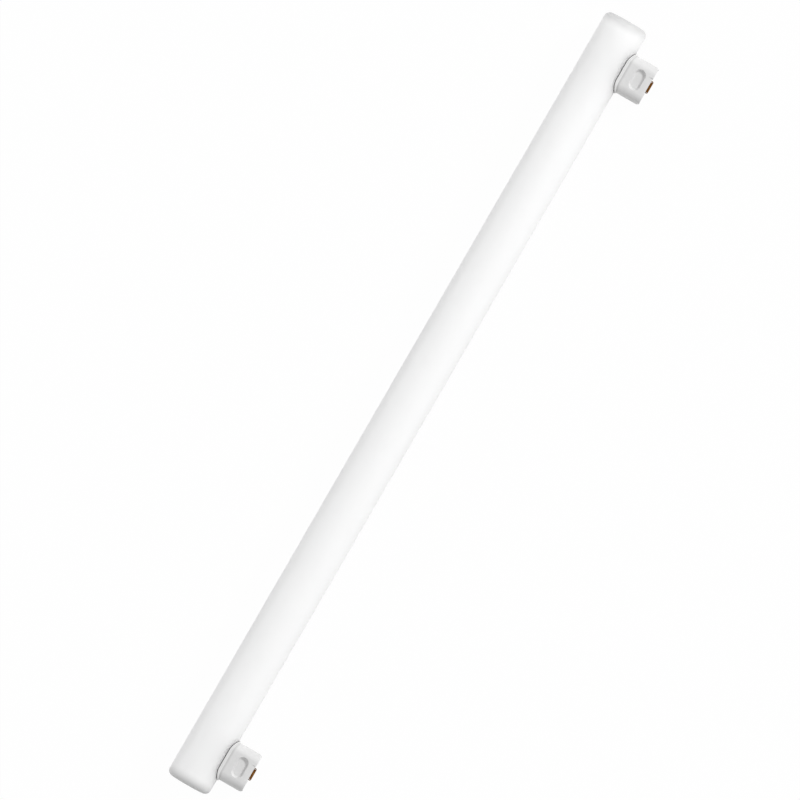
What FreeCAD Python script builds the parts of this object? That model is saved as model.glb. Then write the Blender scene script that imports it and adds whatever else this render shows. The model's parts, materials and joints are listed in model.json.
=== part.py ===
"""A linear tubular lamp: a sealed opal tube with two side caps, lying on a surface as it comes to rest.

Millimetres. Every piece is first made in the lamp's own axes: X along the tube, Z from the tube's axis towards
the end faces of the caps, Y across the caps. The whole lamp is then rolled about its tube until a lower edge of
the caps meets the surface that the tube lies on, and its origin is put under the middle of its bounding box.
"""

import FreeCAD, Part
import math
import os

# Tube
tube_length = 500.0
tube_diameter = 26.7
tube_end_radius = 3.4

# Middle of each cap, measured from the tube's end beside it
right_cap_inset = 26.2
left_cap_inset = 23.4

# Block of the cap housing; heights are measured from the tube's axis
end_face_height = 28.8
block_length = 24.0
block_width = 13.5
block_corner_radius = 5.5
end_bevel = 1.0
end_edge_radius = 0.4
side_wall = 1.6
end_wall = 1.8

# Saddle flange at the foot of the block, and the cement bed between it and the glass
cement_thickness = 0.35
cement_setback = 0.2
flange_end_ledge = 0.8
flange_side_ledge = 1.65
flange_thickness = 0.55
flange_edge_bevel = 0.4
flare_bevel = 0.3

# Latch recess in each broad side: walls that slope down to a flat floor
latch_length = 12.9
latch_width = 6.8
latch_depth = 1.8
latch_wall_run = 1.1
latch_below_end_face = 7.6
latch_floor_wall = 1.1

# Guide channel: a ramp in each broad side, joined by a shallow groove across the end face
channel_width = 10.0
channel_depth = 0.25
ramp_length = 3.0
ramp_depth = 0.6

# Brass contact: a tray folded from sheet, with two tails that are folded under the end wall
contact_length = 7.8
contact_width = 6.0
contact_rise = 1.3
contact_sheet = 0.5
contact_bend_radius = 0.4
tail_width = 3.0
tail_foot_length = 1.2
slot_clearance = 0.1

# Lead from the tube's seal to the contact
lead_diameter = 0.8
lead_hole_clearance = 0.35

# Worked-out values
tube_radius = tube_diameter / 2
saddle_radius = tube_radius + cement_thickness
flange_radius = saddle_radius + flange_thickness
flange_length = block_length + 2 * flange_end_ledge
flange_width = block_width + 2 * flange_side_ledge
flange_corner_radius = block_corner_radius + flange_side_ledge
cavity_length = block_length - 2 * side_wall
cavity_width = block_width - 2 * side_wall
groove_floor = end_face_height - channel_depth
end_wall_underside = groove_floor - end_wall
latch_centre_height = end_face_height - latch_below_end_face
contact_top = end_face_height + contact_rise
contact_outer_bend = contact_bend_radius + contact_sheet

# How far a cutting tool runs past what it cuts
overrun = 1.0


def cap_places():
    """The middle of each cap along the tube, by the side it is on."""
    half = tube_length / 2
    return {"right": half - right_cap_inset, "left": left_cap_inset - half}


def both_sides(shape):
    """The shape and its mirror image on the other broad side of the cap."""
    return [shape, shape.mirror(FreeCAD.Vector(0, 0, 0), FreeCAD.Vector(0, 1, 0))]


def both_ends(shape):
    """The shape and its mirror image at the other end of the cap."""
    return [shape, shape.mirror(FreeCAD.Vector(0, 0, 0), FreeCAD.Vector(1, 0, 0))]


def upright_box(length, width, bottom, top):
    """A box centred on the Z axis."""
    return Part.makeBox(length, width, top - bottom, FreeCAD.Vector(-length / 2, -width / 2, bottom))


def rounded_prism(length, width, radius, bottom, top):
    """A box centred on the Z axis, with its four upright edges rounded."""
    box = upright_box(length, width, bottom, top)
    upright = [e for e in box.Edges if e.BoundBox.ZLength > e.BoundBox.XLength + e.BoundBox.YLength]
    return box.makeFillet(radius, upright)


def tube_bar(radius, length):
    """A round bar on the tube's axis, centred on X = 0."""
    return Part.makeCylinder(radius, length, FreeCAD.Vector(-length / 2, 0, 0), FreeCAD.Vector(1, 0, 0))


def extruded(points, direction):
    """The solid swept by a polygon along a direction."""
    return Part.Face(Part.makePolygon(points + points[:1])).extrude(direction)


def faces_round_tube(shape, radius):
    """The faces of a shape that lie at the given radius round the tube's axis."""
    found = []
    for face in shape.Faces:
        surface = face.Surface
        if isinstance(surface, Part.Cylinder) and abs(surface.Axis.x) > 0.999:
            if abs(surface.Radius - radius) < 0.001:
                found.append(face)
    return found


def flare_edges(shape):
    """The edges where the sides of the block meet the top of the flange."""
    found = []
    for face in faces_round_tube(shape, flange_radius):
        for edge in face.Edges:
            box = edge.optimalBoundingBox()
            within_length = max(-box.XMin, box.XMax) < block_length / 2 + 0.01
            within_width = max(-box.YMin, box.YMax) < block_width / 2 + 0.01
            if within_length and within_width:
                found.append(edge)
    return found


def end_bevel_cutter():
    """The corner that is cut off slantwise at the +X end of the end face."""
    end = block_length / 2
    front = -block_width / 2 - overrun
    return extruded(
        [
            FreeCAD.Vector(end - end_bevel - overrun, front, end_face_height + overrun),
            FreeCAD.Vector(end + overrun, front, end_face_height - end_bevel - overrun),
            FreeCAD.Vector(end + overrun, front, end_face_height + overrun),
        ],
        FreeCAD.Vector(0, block_width + 2 * overrun, 0),
    )


def cap_block():
    """The outside of the block: its end face is bevelled at both ends and has a light round along every edge."""
    block = rounded_prism(block_length, block_width, block_corner_radius, 0, end_face_height)
    block = block.cut(both_ends(end_bevel_cutter()))
    rim = [e for e in block.Edges if e.BoundBox.ZMin > end_face_height - end_bevel - 0.01]
    return block.makeFillet(end_edge_radius, rim)


def cap_flange():
    """The saddle plate that follows the tube, with its outer edge bevelled."""
    outline = rounded_prism(flange_length, flange_width, flange_corner_radius, 0, flange_radius + overrun)
    plate = outline.common(tube_bar(flange_radius, 2 * flange_length))
    plate = plate.cut(tube_bar(saddle_radius, 2 * flange_length))
    rim = [edge for face in faces_round_tube(plate, flange_radius) for edge in face.Edges]
    return plate.makeChamfer(flange_edge_bevel, rim)


def cap_body():
    """Block and flange in one, hollowed for the tube and flared where they meet."""
    body = cap_block().fuse(cap_flange())
    body = body.cut(tube_bar(saddle_radius, 2 * flange_length)).removeSplitter()
    return body.makeChamfer(flare_bevel, flare_edges(body))


def latch_cutter():
    """The space of the latch recess on the +Y side: a trough between two half-round tips, all with sloped walls."""
    surface = block_width / 2
    floor = surface - latch_depth
    mouth_radius = latch_width / 2
    floor_radius = mouth_radius - latch_wall_run
    reach = latch_length / 2 - mouth_radius
    height = latch_centre_height
    tip = Part.makeCone(
        floor_radius, mouth_radius, latch_depth, FreeCAD.Vector(reach, floor, height), FreeCAD.Vector(0, 1, 0)
    )
    trough = extruded(
        [
            FreeCAD.Vector(-reach, floor, height - floor_radius),
            FreeCAD.Vector(-reach, surface, height - mouth_radius),
            FreeCAD.Vector(-reach, surface, height + mouth_radius),
            FreeCAD.Vector(-reach, floor, height + floor_radius),
        ],
        FreeCAD.Vector(2 * reach, 0, 0),
    )
    return trough.fuse(both_ends(tip)).removeSplitter()


def latch_boss():
    """The thickening inside the cavity that backs the floor of the latch recess on the +Y side."""
    outer = block_width / 2 - side_wall / 2
    inner = block_width / 2 - latch_depth - latch_floor_wall
    length = latch_length - 2 * (latch_wall_run - latch_floor_wall)
    height = latch_width - 2 * (latch_wall_run - latch_floor_wall)
    corner = FreeCAD.Vector(-length / 2, inner, latch_centre_height - height / 2)
    return Part.makeBox(length, outer - inner, height, corner)


def cap_cavity():
    """The hollow inside the cap, from the tube up to the end wall, less the bosses behind the recesses."""
    radius = block_corner_radius - side_wall
    hollow = rounded_prism(cavity_length, cavity_width, radius, 0, end_wall_underside)
    return hollow.cut(both_sides(latch_boss()))


def ramp_cutter():
    """The wedge of the guide channel on the +Y side, deepest at the end face."""
    surface = block_width / 2
    start = end_face_height - ramp_length
    past_end = end_face_height + overrun
    past_depth = ramp_depth * (ramp_length + overrun) / ramp_length
    left = -channel_width / 2
    return extruded(
        [
            FreeCAD.Vector(left, surface, start),
            FreeCAD.Vector(left, surface - past_depth, past_end),
            FreeCAD.Vector(left, surface + overrun, past_end),
            FreeCAD.Vector(left, surface + overrun, start),
        ],
        FreeCAD.Vector(channel_width, 0, 0),
    )


def end_groove():
    """The shallow groove of the guide channel across the end face."""
    return upright_box(channel_width, block_width + 2 * overrun, groove_floor, end_face_height + overrun)


def end_wall_holes():
    """The two slots for the tails of the contact and the hole for the lead."""
    bottom = end_wall_underside - overrun
    middle = (contact_length - contact_sheet) / 2
    slot = upright_box(contact_sheet + 2 * slot_clearance, tail_width + 2 * slot_clearance, bottom, contact_top)
    slot = slot.translated(FreeCAD.Vector(middle, 0, 0))
    hole_radius = lead_diameter / 2 + lead_hole_clearance
    hole = Part.makeCylinder(hole_radius, contact_top - bottom, FreeCAD.Vector(0, 0, bottom))
    return both_ends(slot) + [hole]


def cap_housing():
    """The moulded housing of one cap, centred on X = 0."""
    cutters = [cap_cavity()]
    cutters += both_sides(latch_cutter())
    cutters += both_sides(ramp_cutter())
    cutters += [end_groove()]
    cutters += end_wall_holes()
    housing = cap_body()
    for cutter in cutters:
        housing = housing.cut(cutter)
    return housing


def contact_channel(length, width):
    """A strip along X of the given width, with both its ends folded down to the groove's floor."""
    outside = upright_box(length, width, groove_floor, contact_top)
    inside = upright_box(length - 2 * contact_sheet, width, groove_floor, contact_top - contact_sheet)
    outer_bends = [e for e in outside.Edges if bend_at(e, length / 2, contact_top)]
    inner_bends = [e for e in inside.Edges if bend_at(e, length / 2 - contact_sheet, contact_top - contact_sheet)]
    outside = outside.makeFillet(contact_outer_bend, outer_bends)
    return outside.cut(inside.makeFillet(contact_bend_radius, inner_bends))


def bend_at(edge, x, z):
    """Whether an edge runs along Y at the given distance from the middle and height."""
    box = edge.BoundBox
    return box.YLength > 0.1 and abs(abs(box.Center.x) - x) < 0.01 and abs(box.Center.z - z) < 0.01


def contact_tail():
    """The tail at the +X end of the tray: down through its slot and folded outwards under the end wall."""
    outer = contact_length / 2
    inner = outer - contact_sheet
    foot_end = outer + tail_foot_length
    foot_bottom = end_wall_underside - contact_sheet
    front = -tail_width / 2
    tail = extruded(
        [
            FreeCAD.Vector(inner, front, groove_floor),
            FreeCAD.Vector(inner, front, foot_bottom),
            FreeCAD.Vector(foot_end, front, foot_bottom),
            FreeCAD.Vector(foot_end, front, end_wall_underside),
            FreeCAD.Vector(outer, front, end_wall_underside),
            FreeCAD.Vector(outer, front, groove_floor),
        ],
        FreeCAD.Vector(0, tail_width, 0),
    )
    bend = [e for e in tail.Edges if bend_at(e, inner, foot_bottom)]
    return tail.makeFillet(contact_sheet, bend)


def contact():
    """The brass contact of one cap: a crown with four flaps folded down, relieved at its corners, and two tails."""
    along = contact_channel(contact_length, contact_width - 2 * contact_outer_bend)
    across = contact_channel(contact_width, contact_length - 2 * contact_outer_bend)
    across = across.rotated(FreeCAD.Vector(0, 0, 0), FreeCAD.Vector(0, 0, 1), 90)
    return along.fuse([across] + both_ends(contact_tail())).removeSplitter()


def cement_bed():
    """The bed of cement between the glass and the flange, open in the middle for the lead."""
    length = flange_length - 2 * cement_setback
    width = flange_width - 2 * cement_setback
    radius = flange_corner_radius - cement_setback
    outline = rounded_prism(length, width, radius, 0, saddle_radius + overrun)
    bed = outline.common(tube_bar(saddle_radius, 2 * length))
    bed = bed.cut(tube_bar(tube_radius, 2 * length))
    return bed.cut(upright_box(cavity_length, cavity_width, 0, saddle_radius + overrun))


def lead_wire():
    """The lead, from the top of the tube to the underside of the contact's crown."""
    length = contact_top - contact_sheet - tube_radius
    return Part.makeCylinder(lead_diameter / 2, length, FreeCAD.Vector(0, 0, tube_radius))


def tube():
    """The sealed tube, closed and flat at both ends with rounded corners."""
    bar = tube_bar(tube_radius, tube_length)
    ends = [e for e in bar.Edges if isinstance(e.Curve, Part.Circle)]
    return bar.makeFillet(tube_end_radius, ends)


def rest_tilt():
    """How far below level the caps point, in degrees, when their lower end edge meets the surface.

    The edge is a round of end_edge_radius about a line, and it has to reach as far below the tube's axis as the
    tube itself does.
    """
    out = end_face_height - end_edge_radius
    across = block_width / 2 - end_edge_radius
    drop = tube_radius - end_edge_radius
    return math.degrees(math.asin(drop / math.hypot(out, across)) - math.atan2(across, out))


def lamp_pieces():
    """All pieces in the lamp's own axes, by node name."""
    makers = {
        "cap_housing": cap_housing,
        "contact": contact,
        "cement": cement_bed,
        "lead_wire": lead_wire,
    }
    pieces = {"tube": tube()}
    for name, make in makers.items():
        piece = make()
        for side, x in cap_places().items():
            pieces[f"{name}_{side}"] = piece.translated(FreeCAD.Vector(x, 0, 0))
    return pieces


def laid_down(pieces):
    """The pieces rolled to rest, on Z = 0 and with the origin under the middle of their bounding box."""
    turned = {}
    for name, piece in pieces.items():
        turned[name] = piece.rotated(FreeCAD.Vector(0, 0, 0), FreeCAD.Vector(1, 0, 0), 90 + rest_tilt())
    box = Part.makeCompound(list(turned.values())).optimalBoundingBox(False)
    shift = FreeCAD.Vector(-box.Center.x, -box.Center.y, tube_radius)
    return {name: piece.translated(shift) for name, piece in turned.items()}


def main():
    os.makedirs("parts", exist_ok=True)
    for name, piece in laid_down(lamp_pieces()).items():
        piece.exportStep(f"parts/{name}.step")


if __name__ == "__main__":
    main()
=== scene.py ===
import json
import math

import bmesh
import bpy
from bpy.props import FloatProperty, FloatVectorProperty, IntProperty, PointerProperty
from mathutils import Matrix, Vector


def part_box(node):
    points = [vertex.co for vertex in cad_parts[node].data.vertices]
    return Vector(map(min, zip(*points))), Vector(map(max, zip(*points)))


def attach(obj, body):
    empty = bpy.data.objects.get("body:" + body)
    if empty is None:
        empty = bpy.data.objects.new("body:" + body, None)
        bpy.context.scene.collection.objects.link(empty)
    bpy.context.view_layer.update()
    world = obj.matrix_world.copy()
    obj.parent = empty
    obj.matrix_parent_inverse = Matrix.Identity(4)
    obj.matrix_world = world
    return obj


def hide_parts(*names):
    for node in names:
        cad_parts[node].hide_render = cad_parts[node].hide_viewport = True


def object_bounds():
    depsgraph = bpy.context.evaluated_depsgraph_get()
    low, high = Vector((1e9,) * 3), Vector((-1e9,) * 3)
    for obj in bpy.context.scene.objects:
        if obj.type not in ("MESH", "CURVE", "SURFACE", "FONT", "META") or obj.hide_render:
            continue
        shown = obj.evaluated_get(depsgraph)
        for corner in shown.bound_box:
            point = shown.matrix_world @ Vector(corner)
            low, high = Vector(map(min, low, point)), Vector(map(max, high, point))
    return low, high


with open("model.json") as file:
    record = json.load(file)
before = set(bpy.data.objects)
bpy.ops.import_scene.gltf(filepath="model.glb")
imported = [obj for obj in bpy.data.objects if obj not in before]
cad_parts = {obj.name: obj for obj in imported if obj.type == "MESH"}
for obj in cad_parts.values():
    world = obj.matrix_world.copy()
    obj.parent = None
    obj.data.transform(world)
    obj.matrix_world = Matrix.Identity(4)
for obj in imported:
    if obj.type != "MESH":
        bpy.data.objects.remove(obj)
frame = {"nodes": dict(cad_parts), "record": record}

bl_info = {
    "name": "Linear Tubular Lamp",
    "version": (1, 0, 0),
    "blender": (4, 5, 0),
    "location": "View3D > Sidebar > Lamp",
    "description": "Models an opal tubular lamp with two side caps on its packed frame, and its studio",
    "category": "Add Mesh",
}

CAD_BOX = [list(corner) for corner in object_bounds()]
SIDES = ("right", "left")
TUBE_LOW, TUBE_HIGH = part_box("tube")
TUBE_CENTRE = (TUBE_LOW + TUBE_HIGH) / 2
TINY = 1e-6
SHARP_ANGLE = math.radians(30)

# How much of a stadium's half width its corners take: all but enough to keep a straight edge at both ends
STADIUM_ROUNDING = 0.999

# The colour sockets of a Mix node, which share their names with its sockets for numbers
MIX_FIRST, MIX_SECOND, MIX_RESULT = 6, 7, 2


def length(label, meaning, default):
    """A size in metres that a user can change."""
    return FloatProperty(
        name=label, description=meaning, default=default, min=0.0, precision=5, unit="LENGTH"
    )


def colour(label, meaning, default):
    """A colour that a user can change."""
    return FloatVectorProperty(
        name=label, description=meaning, default=default, size=3, min=0.0, max=1.0, subtype="COLOR"
    )


def share(label, meaning, default):
    """A value from nought to one that a user can change."""
    return FloatProperty(name=label, description=meaning, default=default, min=0.0, max=1.0, subtype="FACTOR")


def count(label, meaning, default):
    """A whole number that a user can change."""
    return IntProperty(name=label, description=meaning, default=default, min=1)


def amount(label, meaning, default):
    """A number from nought up that a user can change."""
    return FloatProperty(name=label, description=meaning, default=default, min=0.0)


def angle(label, meaning, degrees):
    """An angle that a user can change."""
    return FloatProperty(name=label, description=meaning, default=math.radians(degrees), subtype="ANGLE")


class LampTubeSettings(bpy.types.PropertyGroup):
    """Sizes and colours of the opal tube."""

    radius: length("Radius", "Radius of the tube", 0.01335)
    end_radius: length("End radius", "Rounding of the glass round both flat ends", 0.0034)
    around: count("Faces round", "Number of faces round the tube", 256)
    end_steps: count("End steps", "Number of faces across the rounding of each end", 16)
    glass: colour("Glass", "Colour of the opal glass", (0.96, 0.96, 0.96))
    cloud: colour("Cloud", "Colour of the faint clouds in the opal glass", (0.95, 0.95, 0.95))
    # This end colour is painted shade: it darkens the glass towards both ends of the tube.
    painted_end_shade: colour("Seal", "Colour of the glass at its sealed ends, which are denser", (0.52, 0.52, 0.52))
    painted_end_shade_reach: length("Seal reach", "How far the seal's tint reaches along the tube", 0.008)
    roughness: share("Roughness", "Roughness of the glass", 0.5)
    shine: share("Shine", "Strength of the glass's reflections", 0.3)
    scatter: length("Scatter", "How far light travels in the opal glass", 0.02)


class LampHousingSettings(bpy.types.PropertyGroup):
    """Sizes and colours of the moulded cap housings; heights are measured from the tube's axis."""

    end_face_height: length("End face height", "Height of the end face", 0.0288)
    block_length: length("Block length", "Length of the block along the tube", 0.024)
    block_width: length("Block width", "Width of the block across the tube", 0.0135)
    block_corner_radius: length("Block corner", "Rounding of the block's upright corners", 0.0055)
    end_bevel: length("End bevel", "Bevel at both ends of the end face", 0.001)
    end_edge_radius: length("End edge", "Rounding of every edge round the end face", 0.0004)
    side_wall: length("Side wall", "Thickness of the block's side walls", 0.0016)
    end_wall: length("End wall", "Thickness of the end wall under the groove", 0.0018)
    saddle_radius: length("Saddle radius", "Radius of the hollow over the tube and its cement", 0.0137)
    flange_thickness: length("Flange thickness", "Thickness of the saddle flange", 0.00055)
    flange_end_ledge: length("Flange end ledge", "How far the flange stands out along the tube", 0.0008)
    flange_side_ledge: length("Flange side ledge", "How far the flange stands out across the tube", 0.00165)
    flange_edge_radius: length("Flange edge", "Rounding of the flange's outer edge", 0.00034)
    flange_foot_radius: length("Flange foot", "Rounding of the flange's edge next to the cement", 0.0002)
    flare_radius: length("Flare", "Hollow rounding where the block meets the flange", 0.0002)
    latch_length: length("Latch length", "Length of the latch recess at its mouth", 0.0129)
    latch_width: length("Latch width", "Width of the latch recess at its mouth", 0.0068)
    latch_depth: length("Latch depth", "Depth of the latch recess", 0.0018)
    latch_wall_run: length("Latch wall run", "How far the recess's walls slope in", 0.0011)
    latch_below_end_face: length("Latch below end face", "Middle of the recess below the end face", 0.0076)
    latch_floor_wall: length("Latch floor wall", "Wall left behind the recess's floor", 0.0011)
    latch_mouth_radius: length("Latch mouth", "Rounding of the recess's mouth", 0.00025)
    latch_floor_radius: length("Latch floor", "Rounding round the recess's floor", 0.00025)
    channel_width: length("Channel width", "Width of the guide channel", 0.01)
    channel_depth: length("Channel depth", "Depth of the groove across the end face", 0.00025)
    ramp_length: length("Ramp length", "Length of the channel's ramp in the broad side", 0.003)
    ramp_depth: length("Ramp depth", "Depth of the ramp at the end face", 0.0006)
    slot_clearance: length("Slot clearance", "Play round the contact's tails", 0.0001)
    lead_hole: length("Lead hole", "Diameter of the hole for the lead", 0.0015)
    corner_steps: count("Corner steps", "Number of faces round each upright corner", 18)
    edge_steps: count("Edge steps", "Number of faces across each rounded edge", 5)
    foot_steps: count("Foot steps", "Number of faces across the rounding of the flange's foot", 3)
    end_cuts: count("End cuts", "Number of cuts in each straight end of the cap's outlines", 4)
    saddle_faces: count("Saddle faces", "Number of faces round the bar that cuts the hollow", 360)
    hole_faces: count("Hole faces", "Number of faces round the hole for the lead", 48)
    plastic: colour("Plastic", "Colour of the moulded caps", (0.73, 0.729, 0.727))
    mottle: colour("Mottle", "Colour of the plastic's faint mottling", (0.71, 0.709, 0.707))
    # This colour is painted shade for the corner where the block meets the flange, and the next setting is
    # how far it reaches.
    painted_corner_shade: colour("Joint", "Colour of the dusty corner over the flange", (0.58, 0.579, 0.577))
    painted_corner_shade_reach: length("Joint reach", "How far out from the flange the dust reaches", 0.0016)
    roughness: share("Roughness", "Roughness of the plastic", 0.46)


class LampContactSettings(bpy.types.PropertyGroup):
    """Sizes and colours of the brass contacts and of what lies under the caps."""

    contact_length: length("Contact length", "Length of the contact along the tube", 0.0078)
    contact_width: length("Contact width", "Width of the contact across the tube", 0.006)
    contact_rise: length("Contact rise", "How far the contact stands above the end face", 0.0013)
    sheet: length("Sheet", "Thickness of the brass", 0.0005)
    bend_radius: length("Bend", "Inner radius of the folds", 0.0004)
    tail_width: length("Tail width", "Width of the two tails", 0.003)
    tail_foot: length("Tail foot", "Length of the tails' feet under the end wall", 0.0012)
    cut_edge: length("Cut edge", "Rounding of the sheet's cut edges", 0.00008)
    bend_steps: count("Bend steps", "Number of faces round each fold", 8)
    # Both brass colours are kept dark as painted dark reflection on the contact's faces.
    brass: colour("Brass", "Colour of the dull brass", (0.13, 0.050, 0.009))
    bright: colour("Bright brass", "Colour of the brass where it is least tarnished", (0.27, 0.13, 0.033))
    # The cement's near-black colour is painted shadow for the narrow gap under each flange.
    cement: colour("Cement", "Colour of the capping cement", (0.025, 0.024, 0.023))
    lead: colour("Lead", "Colour of the lead wires", (0.55, 0.53, 0.50))


class LampStageSettings(bpy.types.PropertyGroup):
    """The studio: camera, lights and floor."""

    lens: amount("Lens", "Focal length in millimetres, long enough to flatten the view", 420.0)
    sensor: amount("Sensor", "Width of the sensor in millimetres", 36.0)
    view_width: length("View width", "Width of what the camera sees at the tube", 0.45426)
    lean: angle("Lean", "How far the tube leans to the right of upright in the picture", 30.01)
    aim_right: length("Aim right", "How far the tube's middle lies right of the picture's", 0.00425)
    aim_down: length("Aim down", "How far the tube's middle lies below the picture's", 0.00171)
    world_light: amount("World light", "Strength of the all-round light", 0.54)
    lamp_distance: length("Lamp distance", "How far both studio lamps are from the middle of the tube", 8.0)
    lamp_size: length("Lamp size", "Width of both studio lamps", 1.9)
    key_power: amount("Key power", "Power of the main studio lamp in watts", 388.0)
    key_swing: angle("Key swing", "How far the main studio lamp stands off the camera's line of sight", 52)
    key_rise: angle("Key rise", "Where the main studio lamp stands in the picture, from right to up", 28)
    fill_power: amount("Fill power", "Power of the low studio lamp in watts", 118.0)
    fill_swing: angle("Fill swing", "How far the low studio lamp stands off the camera's line of sight", 78)
    fill_rise: angle("Fill rise", "Where the low studio lamp stands in the picture, from right to up", 150)
    floor_size: length("Floor size", "Width of the floor", 24.0)
    floor_glow: share("Floor glow", "How much of the white that the camera sees is the floor's own", 0.98)
    floor: colour("Floor", "Colour of the floor", (0.8, 0.8, 0.8))


class LampSettings(bpy.types.PropertyGroup):
    """All settings of the lamp and its studio."""

    tube: PointerProperty(type=LampTubeSettings, name="Tube", description="The opal tube")
    housing: PointerProperty(type=LampHousingSettings, name="Housing", description="The cap housings")
    contact: PointerProperty(type=LampContactSettings, name="Contact", description="The contacts")
    stage: PointerProperty(type=LampStageSettings, name="Stage", description="The studio")


# Working with objects and selections


def deselect_all():
    """Leaves nothing selected, so that an operator acts only on what is picked after it."""
    for obj in bpy.context.selected_objects:
        obj.select_set(False)


def pick(*objects):
    """Selects just these objects and makes the first one active."""
    deselect_all()
    for obj in objects:
        obj.select_set(True)
    bpy.context.view_layer.objects.active = objects[0]


def begin_edit(obj, mode="EDGE"):
    """Opens an object in edit mode with nothing selected."""
    pick(obj)
    bpy.ops.object.mode_set(mode="EDIT")
    bpy.ops.mesh.select_mode(type=mode)
    bpy.ops.mesh.select_all(action="DESELECT")


def end_edit():
    """Goes back to object mode."""
    bpy.ops.object.mode_set(mode="OBJECT")


def select_edges(obj, wanted, only_sharp=False):
    """Selects the edges of the mesh in edit mode whose two ends pass the test, all or only the sharp ones."""
    mesh = bmesh.from_edit_mesh(obj.data)
    for edge in mesh.edges:
        if wanted(edge.verts[0].co, edge.verts[1].co):
            if not only_sharp or edge.calc_face_angle() > SHARP_ANGLE:
                edge.select_set(True)
    bmesh.update_edit_mesh(obj.data)


def select_group(obj, name):
    """Adds the vertices of a group to the selection in edit mode."""
    obj.vertex_groups.active = obj.vertex_groups[name]
    bpy.ops.object.vertex_group_select()


def apply_modifier(obj, modifier):
    """Makes a modifier's result the mesh itself."""
    pick(obj)
    bpy.ops.object.modifier_apply(modifier=modifier.name)


def settle(obj):
    """Puts an object's place, turn and size into its mesh."""
    pick(obj)
    bpy.ops.object.transform_apply(location=True, rotation=True, scale=True)


def combine(obj, other, operation):
    """Cuts another object from this one, or joins it to it, and removes the other."""
    boolean = obj.modifiers.new("combine", "BOOLEAN")
    boolean.operation = operation
    boolean.solver = "EXACT"
    boolean.object = other
    apply_modifier(obj, boolean)
    bpy.data.objects.remove(other)


def box(size, centre):
    """A box of the given size round a point."""
    deselect_all()
    bpy.ops.mesh.primitive_cube_add(size=1, location=centre)
    cube = bpy.context.active_object
    cube.scale = size
    settle(cube)
    return cube


def bar(radius, reach, faces, axis):
    """A round bar through the origin, along X or Z."""
    turn = (0, math.radians(90), 0) if axis == "X" else (0, 0, 0)
    deselect_all()
    bpy.ops.mesh.primitive_cylinder_add(vertices=faces, radius=radius, depth=reach, rotation=turn)
    settle(bpy.context.active_object)
    return bpy.context.active_object


# Lofts through rounded outlines


def outline(half_length, half_width, corner_radius, corner_steps, end_cuts):
    """A rounded rectangle of edges in the XY plane, with its two short straight ends divided."""
    deselect_all()
    bpy.ops.mesh.primitive_plane_add(size=2)
    loop = bpy.context.active_object
    loop.scale = (half_length, half_width, 1)
    settle(loop)
    begin_edit(loop, "VERT")
    bpy.ops.mesh.select_all(action="SELECT")
    bpy.ops.mesh.bevel(affect="VERTICES", offset=corner_radius, segments=corner_steps)
    bpy.ops.mesh.select_all(action="SELECT")
    bpy.ops.mesh.delete(type="ONLY_FACE")
    if end_cuts:
        bpy.ops.mesh.select_mode(type="EDGE")
        bpy.ops.mesh.select_all(action="DESELECT")
        select_edges(loop, lambda a, b: abs(a.x - b.x) < TINY and abs(a.y + b.y) < TINY)
        bpy.ops.mesh.subdivide(number_cuts=end_cuts)
    end_edit()
    return loop


def loft(name, loops):
    """One closed skin through a stack of outlines that have equal numbers of points."""
    for number, loop in enumerate(loops):
        group = loop.vertex_groups.new(name=f"loop_{number}")
        group.add(range(len(loop.data.vertices)), 1.0, "REPLACE")
    pick(*loops)
    bpy.ops.object.join()
    skin = loops[0]
    skin.name = name
    begin_edit(skin, "VERT")
    last = len(skin.vertex_groups) - 1
    for number in range(last):
        bpy.ops.mesh.select_all(action="DESELECT")
        select_group(skin, f"loop_{number}")
        select_group(skin, f"loop_{number + 1}")
        bpy.ops.mesh.bridge_edge_loops()
    for number in (0, last):
        bpy.ops.mesh.select_all(action="DESELECT")
        select_group(skin, f"loop_{number}")
        bpy.ops.mesh.edge_face_add()
    bpy.ops.mesh.select_all(action="SELECT")
    bpy.ops.mesh.normals_make_consistent(inside=False)
    end_edit()
    skin.vertex_groups.clear()
    return skin


def rounded_corner(before, corner, after, radius, steps):
    """The points of an arc that rounds a corner of a profile, in the plane of offset and height."""
    before, corner, after = Vector(before), Vector(corner), Vector(after)
    back = (before - corner).normalized()
    ahead = (after - corner).normalized()
    half = back.angle(ahead) / 2
    middle = corner + (back + ahead).normalized() * radius / math.sin(half)
    start = corner + back * radius / math.tan(half) - middle
    end = corner + ahead * radius / math.tan(half) - middle
    sweep = start.angle_signed(end)
    points = []
    for step in range(steps + 1):
        turn = -sweep * step / steps
        spoke = Matrix.Rotation(turn, 2) @ start
        points.append(middle + spoke)
    return points


# Materials


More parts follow.
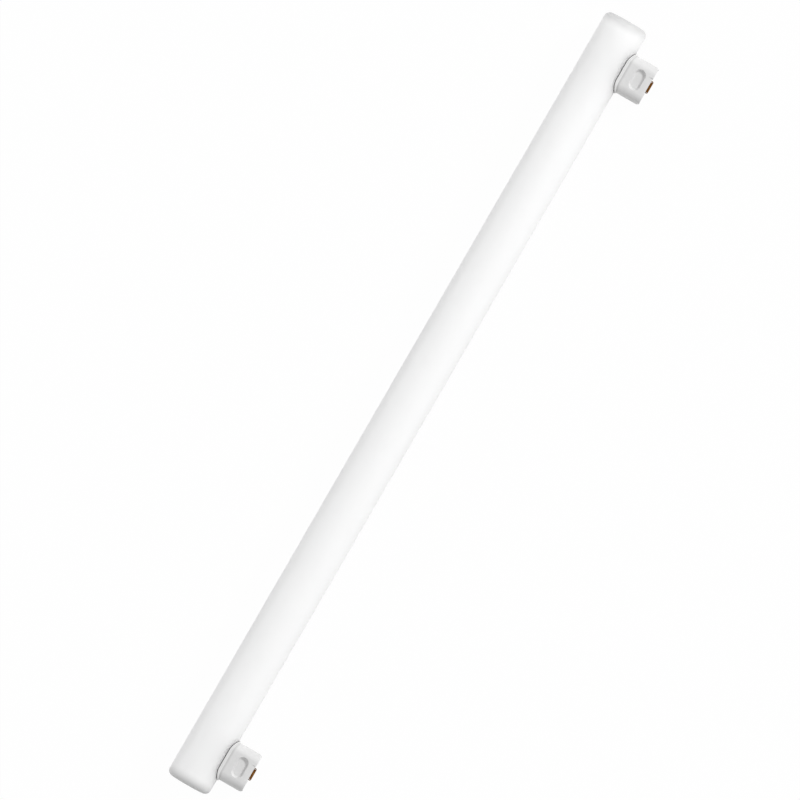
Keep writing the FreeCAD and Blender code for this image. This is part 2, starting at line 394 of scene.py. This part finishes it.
class Nodes:
    """The node tree of one new material, with short ways to add what the lamp's finishes share."""

    def __init__(self, name):
        self.material = bpy.data.materials.new(name)
        self.material.use_nodes = True
        self.tree = self.material.node_tree
        self.shader = self.tree.nodes["Principled BSDF"]
        self.place = self.tree.nodes.new("ShaderNodeTexCoord").outputs["Object"]

    def add(self, kind, **settings):
        node = self.tree.nodes.new(kind)
        for key, value in settings.items():
            setattr(node, key, value)
        return node

    def link(self, output, socket):
        self.tree.links.new(output, socket)

    def stretched(self, scale, shift=(0, 0, 0)):
        """The piece's own coordinates, stretched by a factor along each axis and then moved."""
        mapping = self.add("ShaderNodeMapping")
        mapping.inputs["Scale"].default_value = scale
        mapping.inputs["Location"].default_value = shift
        self.link(self.place, mapping.inputs["Vector"])
        return mapping.outputs["Vector"]

    def noise(self, scale, detail=2.0, stretch=(1, 1, 1)):
        """Soft noise with features of about one over scale, in metres."""
        noise = self.add("ShaderNodeTexNoise")
        noise.inputs["Scale"].default_value = scale
        noise.inputs["Detail"].default_value = detail
        self.link(self.stretched(stretch), noise.inputs["Vector"])
        return noise.outputs["Fac"]

    def spread(self, value, low, high, to_low=0.0, to_high=1.0):
        """A value moved smoothly from one range to another."""
        spread = self.add("ShaderNodeMapRange", interpolation_type="SMOOTHSTEP")
        self.link(value, spread.inputs["Value"])
        for socket, number in zip(("From Min", "From Max", "To Min", "To Max"), (low, high, to_low, to_high)):
            spread.inputs[socket].default_value = number
        return spread.outputs["Result"]

    def blend(self, factor, first, second):
        """A colour between two colours, each a value or the output of a node."""
        mix = self.add("ShaderNodeMix", data_type="RGBA")
        self.link(factor, mix.inputs["Factor"])
        for socket, paint in ((mix.inputs[MIX_FIRST], first), (mix.inputs[MIX_SECOND], second)):
            if isinstance(paint, bpy.types.NodeSocket):
                self.link(paint, socket)
            else:
                socket.default_value = (*paint, 1.0)
        return mix.outputs[MIX_RESULT]

    def bump(self, height, strength, distance, under=None):
        """Surface relief from a height, laid over another relief if one is given."""
        bump = self.add("ShaderNodeBump")
        bump.inputs["Strength"].default_value = strength
        bump.inputs["Distance"].default_value = distance
        self.link(height, bump.inputs["Height"])
        if under is not None:
            self.link(under, bump.inputs["Normal"])
        return bump.outputs["Normal"]

    def finish(self, base, roughness, normal, **constants):
        """Joins colour, roughness and relief to the shader and sets its plain numbers."""
        self.link(base, self.shader.inputs["Base Color"])
        self.link(roughness, self.shader.inputs["Roughness"])
        self.link(normal, self.shader.inputs["Normal"])
        for name, value in constants.items():
            self.shader.inputs[name].default_value = value
        return self.material


def opal_glass(tube):
    """Sealed opal glass: white, faintly clouded, with painted shade that darkens it towards both ends, and
    the drawn tube's long waves.
    """
    nodes = Nodes("opal_glass")
    clouds = nodes.spread(nodes.noise(scale=26.0, detail=3.0, stretch=(0.35, 1, 1)), 0.35, 0.7)
    body = nodes.blend(clouds, tube.glass, tube.cloud)
    along = nodes.add("ShaderNodeSeparateXYZ")
    nodes.link(nodes.place, along.inputs["Vector"])
    distance = nodes.add("ShaderNodeMath", operation="ABSOLUTE")
    nodes.link(along.outputs["X"], distance.inputs[0])
    half = TUBE_HIGH.x
    # Painted shade: the glass is blended towards the end colour over the last stretch at both ends.
    ends = nodes.spread(distance.outputs["Value"], half - tube.painted_end_shade_reach, half)
    base = nodes.blend(ends, body, tube.painted_end_shade)
    smears = nodes.noise(scale=60.0, detail=3.0, stretch=(0.3, 1, 1))
    roughness = nodes.spread(smears, 0.3, 0.7, tube.roughness * 0.9, tube.roughness * 1.1)
    waves = nodes.noise(scale=90.0, stretch=(0.12, 1, 1))
    relief = nodes.bump(waves, strength=0.05, distance=0.0006)
    constants = {
        "Subsurface Weight": 1.0,
        "Subsurface Radius": (1.0, 1.0, 1.0),
        "Subsurface Scale": tube.scatter,
        "Specular IOR Level": tube.shine,
    }
    return nodes.finish(base, roughness, relief, **constants)


def cap_plastic(housing):
    """Light grey moulded plastic with a fine spark-eroded skin, and painted shade in the corner over the
    flange.
    """
    nodes = Nodes("cap_plastic")
    mottle = nodes.spread(nodes.noise(scale=420.0, detail=4.0), 0.35, 0.7)
    clean = nodes.blend(mottle, housing.plastic, housing.mottle)
    # Painted shade: the plastic darkens in a band just above the flange, where the block meets it.
    from_axis = nodes.add("ShaderNodeVectorMath", operation="LENGTH")
    nodes.link(nodes.stretched((0, 1, 1), (0, -TUBE_CENTRE.y, -TUBE_CENTRE.z)), from_axis.inputs[0])
    flange_top = housing.saddle_radius + housing.flange_thickness
    corner = flange_top + 2 * housing.flare_radius
    above_flange = nodes.spread(from_axis.outputs["Value"], flange_top, corner)
    fading = nodes.spread(from_axis.outputs["Value"], corner, flange_top + housing.painted_corner_shade_reach, 1.0, 0.0)
    corner_shade = nodes.add("ShaderNodeMath", operation="MULTIPLY")
    nodes.link(above_flange, corner_shade.inputs[0])
    nodes.link(fading, corner_shade.inputs[1])
    base = nodes.blend(corner_shade.outputs["Value"], clean, housing.painted_corner_shade)
    patches = nodes.noise(scale=700.0, detail=3.0)
    roughness = nodes.spread(patches, 0.3, 0.7, housing.roughness * 0.9, housing.roughness * 1.15)
    grain = nodes.bump(nodes.noise(scale=5200.0, detail=3.0), strength=0.22, distance=0.00003)
    relief = nodes.bump(nodes.noise(scale=260.0), strength=0.12, distance=0.0001, under=grain)
    return nodes.finish(base, roughness, relief)


def contact_brass(contact):
    """Rolled brass sheet, its colours darkened as painted dark reflection, brighter in patches at random."""
    nodes = Nodes("contact_brass")
    tarnish = nodes.noise(scale=900.0, detail=4.0, stretch=(0.5, 1, 1))
    base = nodes.blend(nodes.spread(tarnish, 0.42, 0.72), contact.brass, contact.bright)
    rubbed = nodes.noise(scale=1500.0, detail=3.0, stretch=(0.3, 1, 1))
    roughness = nodes.spread(rubbed, 0.3, 0.7, 0.27, 0.42)
    lines = nodes.noise(scale=9000.0, stretch=(0.04, 1, 1))
    relief = nodes.bump(lines, strength=0.15, distance=0.00001)
    return nodes.finish(base, roughness, relief, Metallic=1.0)


def cap_cement(contact):
    """Matt capping cement with fine grit, coloured near black as painted shadow in the gap under the flange.
    """
    nodes = Nodes("cap_cement")
    grit = nodes.noise(scale=3000.0, detail=5.0)
    pale = [min(1.0, part * 1.15) for part in contact.cement]
    base = nodes.blend(nodes.spread(grit, 0.4, 0.65), contact.cement, pale)
    roughness = nodes.spread(grit, 0.3, 0.7, 0.85, 0.95)
    return nodes.finish(base, roughness, nodes.bump(grit, strength=0.4, distance=0.00008))


def lead_metal(contact):
    """Drawn lead wire with fine lines along it."""
    nodes = Nodes("lead_metal")
    lines = nodes.noise(scale=6000.0, stretch=(1, 0.05, 0.05))
    dull = [part * 0.8 for part in contact.lead]
    base = nodes.blend(nodes.spread(lines, 0.35, 0.65), contact.lead, dull)
    roughness = nodes.spread(lines, 0.3, 0.7, 0.3, 0.42)
    relief = nodes.bump(lines, strength=0.1, distance=0.00001)
    return nodes.finish(base, roughness, relief, Metallic=1.0)


def give(obj, material):
    """Makes a material the only one of an object."""
    obj.data.materials.clear()
    obj.data.materials.append(material)


# Placing pieces on the frame


def droop():
    """How far below level the caps point, read from the frame's contact face."""
    for mount in frame["record"]["mounts"]:
        if mount["name"] == "contact_face_right":
            return math.asin(-mount["axis"][2])
    raise RuntimeError("the frame has no mount named contact_face_right")


def cap_place(side):
    """The turn and place that take a cap from its own axes, Z towards its end face, to the lamp."""
    low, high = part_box(f"cap_housing_{side}")
    foot = Vector(((low.x + high.x) / 2, TUBE_CENTRE.y, TUBE_CENTRE.z))
    return Matrix.Translation(foot) @ Matrix.Rotation(math.radians(90) + droop(), 4, "X")


def smooth(obj, degrees):
    """Smooth shading that keeps edges crisp over the given angle and leaves flat faces flat."""
    pick(obj)
    bpy.ops.object.shade_smooth_by_angle(angle=math.radians(degrees))
    weighted = obj.modifiers.new("weighted", "WEIGHTED_NORMAL")
    weighted.mode = "FACE_AREA"
    weighted.weight = 100
    weighted.keep_sharp = True
    apply_modifier(obj, weighted)


def set_on_both_caps(model, base_name, node_name, material):
    """Puts a finished model and one copy of it on the two caps, in place of their CAD nodes."""
    pick(model)
    bpy.ops.object.duplicate()
    pieces = {"left": bpy.context.active_object, "right": model}
    for side, piece in pieces.items():
        piece.name = f"{base_name}_{side}"
        piece.data.name = piece.name
        piece.matrix_world = cap_place(side)
        settle(piece)
        give(piece, material)
        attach(piece, "root")
        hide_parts(f"{node_name}_{side}")


# The cap housing


def cap_skin(housing):
    """The outside of a cap: flange, flare and block as one loft of outlines, with its end face finished."""
    half_length = housing.block_length / 2
    half_width = housing.block_width / 2
    corner = housing.block_corner_radius
    cuts = housing.end_cuts
    flange_radius = housing.saddle_radius + housing.flange_thickness
    below_saddle = 0.002
    steps = housing.edge_steps
    loops = []

    def add_loop(out_x, out_y, height):
        loop = outline(half_length + out_x, half_width + out_y, corner + out_y, housing.corner_steps, cuts)
        for point in loop.data.vertices:
            point.co.z = height(point.co.y)
        loops.append(loop)

    def on_tube(radius, extra=0.0):
        return lambda y: math.sqrt(radius * radius - y * y) + extra

    end_ledge = housing.flange_end_ledge
    side_ledge = housing.flange_side_ledge
    edge = housing.flange_edge_radius
    add_loop(end_ledge, side_ledge, on_tube(housing.saddle_radius, -below_saddle))
    for step in range(steps + 1):
        turn = math.radians(90) * step / steps
        inward = edge * (1 - math.cos(turn))
        down = edge * (1 - math.sin(turn))
        add_loop(end_ledge - inward, side_ledge - inward, on_tube(flange_radius, -down))
    flare = housing.flare_radius
    for step in range(steps + 1):
        turn = math.radians(90) * step / steps
        out = flare * (1 - math.sin(turn))
        up = flare * (1 - math.cos(turn))
        add_loop(out, out, on_tube(flange_radius, up))
    add_loop(0, 0, lambda y: housing.end_face_height)
    skin = loft("cap_moulding", loops)
    for side in (1, -1):
        combine(skin, end_bevel_tool(housing, side), "DIFFERENCE")
    round_end_edges(skin, housing)
    return skin


def end_bevel_tool(housing, side):
    """What is cut off slantwise at one end of the end face."""
    size = housing.block_width
    tool = box((2 * size, 2 * size, size), (0, 0, size / 2))
    foot = Vector((side * (housing.block_length - housing.end_bevel) / 2, 0, 0))
    foot.z = housing.end_face_height - housing.end_bevel / 2
    tool.matrix_world = Matrix.Translation(foot) @ Matrix.Rotation(side * math.radians(45), 4, "Y")
    settle(tool)
    return tool


def round_end_edges(skin, housing):
    """Rounds every edge of the bevelled end face."""
    lowest = housing.end_face_height - housing.end_bevel - TINY
    begin_edit(skin)
    select_edges(skin, lambda a, b: min(a.z, b.z) > lowest, only_sharp=True)
    bpy.ops.mesh.bevel(offset=housing.end_edge_radius, segments=housing.edge_steps, affect="EDGES")
    end_edit()


def cavity_half_size(housing):
    """Half the length and half the width of the hollow inside the cap."""
    return housing.block_length / 2 - housing.side_wall, housing.block_width / 2 - housing.side_wall


def round_flange_foot(cap, housing):
    """Rounds the outer rim of the hollow that fits over the tube."""
    half_length, half_width = cavity_half_size(housing)
    near = 4 * TINY

    def on_rim(point):
        outside = abs(point.x) > half_length + TINY or abs(point.y) > half_width + TINY
        return outside and abs(math.hypot(point.y, point.z) - housing.saddle_radius) < near

    begin_edit(cap)
    select_edges(cap, lambda a, b: on_rim(a) and on_rim(b), only_sharp=True)
    bpy.ops.mesh.bevel(offset=housing.flange_foot_radius, segments=housing.foot_steps, affect="EDGES")
    end_edit()


def latch_tool(housing, side):
    """What is cut out for the latch recess: a stadium whose walls slope in, with rounded mouth and floor."""
    depth = housing.latch_depth
    run = housing.latch_wall_run
    steps = housing.edge_steps
    proud = 0.00002
    over = housing.latch_mouth_radius
    mouth = rounded_corner((over, proud), (0, proud), (-run, -depth), over, steps)
    floor_middle = (-housing.latch_width / 2, -depth)
    floor = rounded_corner((0, 0), (-run, -depth), floor_middle, housing.latch_floor_radius, steps)
    loops = []
    for out, height in [(mouth[0].x, over)] + [tuple(point) for point in mouth + floor]:
        half_width = housing.latch_width / 2 + out
        corner = half_width * STADIUM_ROUNDING
        loop = outline(housing.latch_length / 2 + out, half_width, corner, 2 * housing.corner_steps, 0)
        for point in loop.data.vertices:
            point.co.z = height
        loops.append(loop)
    tool = loft("latch_tool", loops)
    turn = Matrix.Rotation(math.radians(-90 * side), 4, "X")
    middle = housing.end_face_height - housing.latch_below_end_face
    centre = Vector((0, side * housing.block_width / 2, middle))
    tool.matrix_world = Matrix.Translation(centre) @ turn
    settle(tool)
    return tool


def ramp_tool(housing, side):
    """What is cut out for the ramp of the guide channel in one broad side."""
    slope = math.atan2(housing.ramp_depth, housing.ramp_length)
    size = 2 * housing.ramp_length
    tool = box((housing.channel_width, size, size), (0, side * size / 2, size / 2))
    foot = Vector((0, side * housing.block_width / 2, housing.end_face_height - housing.ramp_length))
    tool.matrix_world = Matrix.Translation(foot) @ Matrix.Rotation(side * slope, 4, "X")
    settle(tool)
    return tool


def cavity_tool(housing):
    """The hollow inside the cap, less the two bosses that back the latch recesses."""
    ceiling = housing.end_face_height - housing.channel_depth - housing.end_wall
    half_length, half_width = cavity_half_size(housing)
    corner = housing.block_corner_radius - housing.side_wall
    loops = []
    for height in (0, ceiling):
        loop = outline(half_length, half_width, corner, housing.corner_steps, 0)
        loop.location.z = height
        settle(loop)
        loops.append(loop)
    hollow = loft("cavity", loops)
    shrink = housing.latch_wall_run - housing.latch_floor_wall
    inner = housing.block_width / 2 - housing.latch_depth - housing.latch_floor_wall
    middle = housing.end_face_height - housing.latch_below_end_face
    for side in (1, -1):
        size = (housing.latch_length - 2 * shrink, 2 * (half_width - inner), housing.latch_width - 2 * shrink)
        combine(hollow, box(size, (0, side * half_width, middle)), "DIFFERENCE")
    return hollow


def end_wall_tools(housing, contact):
    """The slots for the contact's tails and the hole for the lead, through the end wall."""
    middle = housing.end_face_height - housing.channel_depth - housing.end_wall / 2
    reach = 2 * housing.end_wall
    play = 2 * housing.slot_clearance
    tools = []
    for side in (1, -1):
        place = (side * (contact.contact_length - contact.sheet) / 2, 0, middle)
        tools.append(box((contact.sheet + play, contact.tail_width + play, reach), place))
    hole = bar(housing.lead_hole / 2, reach, housing.hole_faces, "Z")
    hole.location.z = middle
    settle(hole)
    return tools + [hole]


def cap_moulding(housing, contact):
    """One whole cap housing, in its own axes."""
    cap = cap_skin(housing)
    top = housing.end_face_height
    depth = housing.channel_depth
    tools = [bar(housing.saddle_radius, 2 * housing.block_length, housing.saddle_faces, "X")]
    tools += [cavity_tool(housing)]
    tools += [box((housing.channel_width, 2 * housing.block_width, 2 * depth), (0, 0, top))]
    tools += [ramp_tool(housing, side) for side in (1, -1)]
    tools += [latch_tool(housing, side) for side in (1, -1)]
    tools += end_wall_tools(housing, contact)
    for tool in tools:
        combine(cap, tool, "DIFFERENCE")
    round_flange_foot(cap, housing)
    return cap


# The contact


def contact_shoe(contact, housing):
    """One brass contact, folded from sheet: a crown, four flaps and two tails bent under the end wall."""
    top = housing.end_face_height + contact.contact_rise
    floor = housing.end_face_height - housing.channel_depth
    ceiling = floor - housing.end_wall
    outer_bend = contact.bend_radius + contact.sheet
    half_length = contact.contact_length / 2
    half_width = contact.contact_width / 2
    half_tail = contact.tail_width / 2
    deselect_all()
    bpy.ops.mesh.primitive_plane_add(size=2, location=(0, 0, top))
    shoe = bpy.context.active_object
    shoe.name = "contact_shoe"
    shoe.scale = (half_length - outer_bend, half_width - outer_bend, 1)
    settle(shoe)
    begin_edit(shoe)
    for y in (half_tail, -half_tail):
        bpy.ops.mesh.select_all(action="SELECT")
        bpy.ops.mesh.bisect(plane_co=(0, y, 0), plane_no=(0, 1, 0))
    bend_height = top - outer_bend
    for axis, edge in (("x", half_length - outer_bend), ("y", half_width - outer_bend)):
        for side in (1, -1):
            at = side * edge
            bpy.ops.mesh.select_all(action="DESELECT")
            select_edges(
                shoe,
                lambda a, b: max(abs(getattr(p, axis) - at) for p in (a, b)) < TINY
                and min(a.z, b.z) > top - TINY,
            )
            centre = (at, 0, bend_height) if axis == "x" else (0, at, bend_height)
            turn_axis = (0, -side, 0) if axis == "x" else (side, 0, 0)
            bpy.ops.mesh.spin(
                steps=contact.bend_steps,
                angle=math.radians(90),
                center=centre,
                axis=turn_axis,
                use_auto_merge=False,
            )
            bpy.ops.mesh.extrude_edges_move(TRANSFORM_OT_translate={"value": (0, 0, floor - bend_height)})
    for side in (1, -1):
        bpy.ops.mesh.select_all(action="DESELECT")
        select_edges(
            shoe,
            lambda a, b: max(a.z, b.z) < floor + TINY
            and min(side * a.x, side * b.x) > half_length - TINY
            and max(abs(a.y), abs(b.y)) < half_tail + TINY,
        )
        bpy.ops.mesh.extrude_edges_move(TRANSFORM_OT_translate={"value": (0, 0, ceiling - floor)})
        bpy.ops.mesh.extrude_edges_move(TRANSFORM_OT_translate={"value": (side * contact.tail_foot, 0, 0)})
    bpy.ops.mesh.select_all(action="SELECT")
    bpy.ops.mesh.normals_make_consistent(inside=False)
    end_edit()
    if shoe.data.polygons[0].normal.z < 0:
        shoe.data.flip_normals()
    sheet = shoe.modifiers.new("sheet", "SOLIDIFY")
    sheet.thickness = contact.sheet
    sheet.offset = -1
    sheet.use_even_offset = True
    apply_modifier(shoe, sheet)
    edges = shoe.modifiers.new("edges", "BEVEL")
    edges.width = contact.cut_edge
    edges.segments = 2
    edges.limit_method = "ANGLE"
    edges.angle_limit = math.radians(40)
    apply_modifier(shoe, edges)
    return shoe


# The operators


class LAMP_OT_opal_tube(bpy.types.Operator):
    """Models the sealed opal tube"""

    bl_idname = "lamp.opal_tube"
    bl_label = "Opal tube"

    def execute(self, context):
        tube = context.scene.lamp.tube
        piece = bar(tube.radius, TUBE_HIGH.x - TUBE_LOW.x, tube.around, "X")
        piece.name = "opal_tube"
        end = TUBE_HIGH.x - TINY
        begin_edit(piece)
        select_edges(piece, lambda a, b: min(abs(a.x), abs(b.x)) > end and a.x * b.x > 0)
        bpy.ops.mesh.bevel(offset=tube.end_radius, segments=tube.end_steps, affect="EDGES")
        end_edit()
        piece.location = TUBE_CENTRE
        settle(piece)
        smooth(piece, degrees=30)
        give(piece, opal_glass(tube))
        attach(piece, "root")
        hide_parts("tube")
        return {"FINISHED"}


class LAMP_OT_cap_housings(bpy.types.Operator):
    """Models the two moulded cap housings"""

    bl_idname = "lamp.cap_housings"
    bl_label = "Cap housings"

    def execute(self, context):
        lamp = context.scene.lamp
        cap = cap_moulding(lamp.housing, lamp.contact)
        smooth(cap, degrees=34)
        set_on_both_caps(cap, "cap_moulding", "cap_housing", cap_plastic(lamp.housing))
        return {"FINISHED"}


class LAMP_OT_contacts(bpy.types.Operator):
    """Models the two folded brass contacts"""

    bl_idname = "lamp.contacts"
    bl_label = "Contacts"

    def execute(self, context):
        lamp = context.scene.lamp
        shoe = contact_shoe(lamp.contact, lamp.housing)
        smooth(shoe, degrees=50)
        set_on_both_caps(shoe, "contact_shoe", "contact", contact_brass(lamp.contact))
        return {"FINISHED"}


class LAMP_OT_cement_and_leads(bpy.types.Operator):
    """Finishes the cement beds and lead wires, which keep their CAD shape"""

    bl_idname = "lamp.cement_and_leads"
    bl_label = "Cement and leads"

    def execute(self, context):
        contact = context.scene.lamp.contact
        finishes = {"cement": cap_cement(contact), "lead_wire": lead_metal(contact)}
        for name, material in finishes.items():
            for side in SIDES:
                give(frame["nodes"][f"{name}_{side}"], material)
        return {"FINISHED"}


# The studio


def picture_axes(stage):
    """Right, up and towards the camera in the row frame, for the way that the lamp lies in the picture."""
    tilt = droop()
    along = Vector((1, 0, 0))
    caps = Vector((0, -math.cos(tilt), -math.sin(tilt)))
    right = along * math.sin(stage.lean) + caps * math.cos(stage.lean)
    up = along * math.cos(stage.lean) - caps * math.sin(stage.lean)
    return right, up, right.cross(up)


def turned_to(right, up, back):
    """The turn of a camera whose own X, Y and Z point these ways."""
    return Matrix((right, up, back)).transposed().to_4x4()


def studio_camera(stage):
    """The camera, square to the plane of the tube and its caps."""
    right, up, back = picture_axes(stage)
    aim = TUBE_CENTRE - right * stage.aim_right + up * stage.aim_down
    data = bpy.data.cameras.new("camera")
    data.lens = stage.lens
    data.sensor_width = stage.sensor
    camera = bpy.data.objects.new("camera", data)
    bpy.context.scene.collection.objects.link(camera)
    distance = stage.view_width * stage.lens / stage.sensor
    camera.matrix_world = Matrix.Translation(aim + back * distance) @ turned_to(right, up, back)
    data.clip_end = 100.0
    bpy.context.scene.camera = camera


def soft_square(stage, name, power, swing, rise):
    """A soft square studio lamp facing the tube, swung off the line of sight to the side that rise gives."""
    right, up, back = picture_axes(stage)
    aside = right * math.cos(rise) + up * math.sin(rise)
    towards = aside * math.sin(swing) + back * math.cos(swing)
    data = bpy.data.lights.new(name, "AREA")
    data.shape = "SQUARE"
    data.size = stage.lamp_size
    data.energy = power
    lamp = bpy.data.objects.new(name, data)
    bpy.context.scene.collection.objects.link(lamp)
    lamp.location = TUBE_CENTRE + towards * stage.lamp_distance
    lamp.rotation_euler = towards.to_track_quat("Z", "Y").to_euler()
    lamp.visible_camera = False


def seen_directly(tree):
    """One for rays from the camera or seen in gloss or glass, and nought for light that bounces."""
    path = tree.nodes.new("ShaderNodeLightPath")
    total = path.outputs["Is Camera Ray"]
    for name in ("Is Glossy Ray", "Is Transmission Ray"):
        add = tree.nodes.new("ShaderNodeMath")
        add.operation = "MAXIMUM"
        tree.links.new(total, add.inputs[0])
        tree.links.new(path.outputs[name], add.inputs[1])
        total = add.outputs["Value"]
    return total


def studio_world(stage):
    """All-round soft light, which looks plain white where it is seen."""
    world = bpy.data.worlds.new("studio")
    world.use_nodes = True
    tree = world.node_tree
    strength = tree.nodes.new("ShaderNodeMapRange")
    strength.inputs["To Min"].default_value = stage.world_light
    strength.inputs["To Max"].default_value = 1.0
    tree.links.new(seen_directly(tree), strength.inputs["Value"])
    background = tree.nodes["Background"]
    background.inputs["Color"].default_value = (1, 1, 1, 1)
    tree.links.new(strength.outputs["Result"], background.inputs["Strength"])
    bpy.context.scene.world = world


def floor_material(stage):
    """White paper that glows where it is seen, and still takes the lamp's shadow."""
    material = bpy.data.materials.new("floor_paper")
    material.use_nodes = True
    tree = material.node_tree
    shader = tree.nodes["Principled BSDF"]
    shader.inputs["Base Color"].default_value = (*stage.floor, 1)
    shader.inputs["Roughness"].default_value = 0.9
    glow = tree.nodes.new("ShaderNodeEmission")
    glow.inputs["Color"].default_value = (1, 1, 1, 1)
    portion = tree.nodes.new("ShaderNodeMath")
    portion.operation = "MULTIPLY"
    portion.inputs[1].default_value = stage.floor_glow
    tree.links.new(seen_directly(tree), portion.inputs[0])
    mix = tree.nodes.new("ShaderNodeMixShader")
    tree.links.new(portion.outputs["Value"], mix.inputs["Fac"])
    tree.links.new(shader.outputs["BSDF"], mix.inputs[1])
    tree.links.new(glow.outputs["Emission"], mix.inputs[2])
    tree.links.new(mix.outputs["Shader"], tree.nodes["Material Output"].inputs["Surface"])
    return material


class LAMP_OT_stage(bpy.types.Operator):
    """Sets up the floor, the light and the camera"""

    bl_idname = "lamp.stage"
    bl_label = "Stage"

    def execute(self, context):
        stage = context.scene.lamp.stage
        studio_camera(stage)
        studio_world(stage)
        soft_square(stage, "key_lamp", stage.key_power, stage.key_swing, stage.key_rise)
        soft_square(stage, "fill_lamp", stage.fill_power, stage.fill_swing, stage.fill_rise)
        deselect_all()
        bpy.ops.mesh.primitive_plane_add(size=stage.floor_size, location=(0, 0, CAD_BOX[0][2]))
        floor = context.active_object
        floor.name = "floor"
        give(floor, floor_material(stage))
        context.scene.view_settings.view_transform = "Standard"
        return {"FINISHED"}


class LAMP_PT_panel(bpy.types.Panel):
    """The lamp's pieces and settings in the sidebar"""

    bl_idname = "LAMP_PT_panel"
    bl_label = "Linear Tubular Lamp"
    bl_space_type = "VIEW_3D"
    bl_region_type = "UI"
    bl_category = "Lamp"

    def draw(self, context):
        lamp = context.scene.lamp
        for operator, settings in (
            ("lamp.opal_tube", lamp.tube),
            ("lamp.cap_housings", lamp.housing),
            ("lamp.contacts", lamp.contact),
            ("lamp.cement_and_leads", None),
            ("lamp.stage", lamp.stage),
        ):
            part = self.layout.box()
            part.operator(operator)
            if settings:
                for name in settings.__annotations__:
                    part.prop(settings, name)


CLASSES = (
    LampTubeSettings,
    LampHousingSettings,
    LampContactSettings,
    LampStageSettings,
    LampSettings,
    LAMP_OT_opal_tube,
    LAMP_OT_cap_housings,
    LAMP_OT_contacts,
    LAMP_OT_cement_and_leads,
    LAMP_OT_stage,
    LAMP_PT_panel,
)


def register():
    for cls in CLASSES:
        bpy.utils.register_class(cls)
    bpy.types.Scene.lamp = PointerProperty(type=LampSettings)


def unregister():
    del bpy.types.Scene.lamp
    for cls in reversed(CLASSES):
        bpy.utils.unregister_class(cls)


def main():
    register()
    bpy.ops.lamp.opal_tube()
    bpy.ops.lamp.cap_housings()
    bpy.ops.lamp.contacts()
    bpy.ops.lamp.cement_and_leads()
    bpy.ops.lamp.stage()


if __name__ == "__main__":
    main()
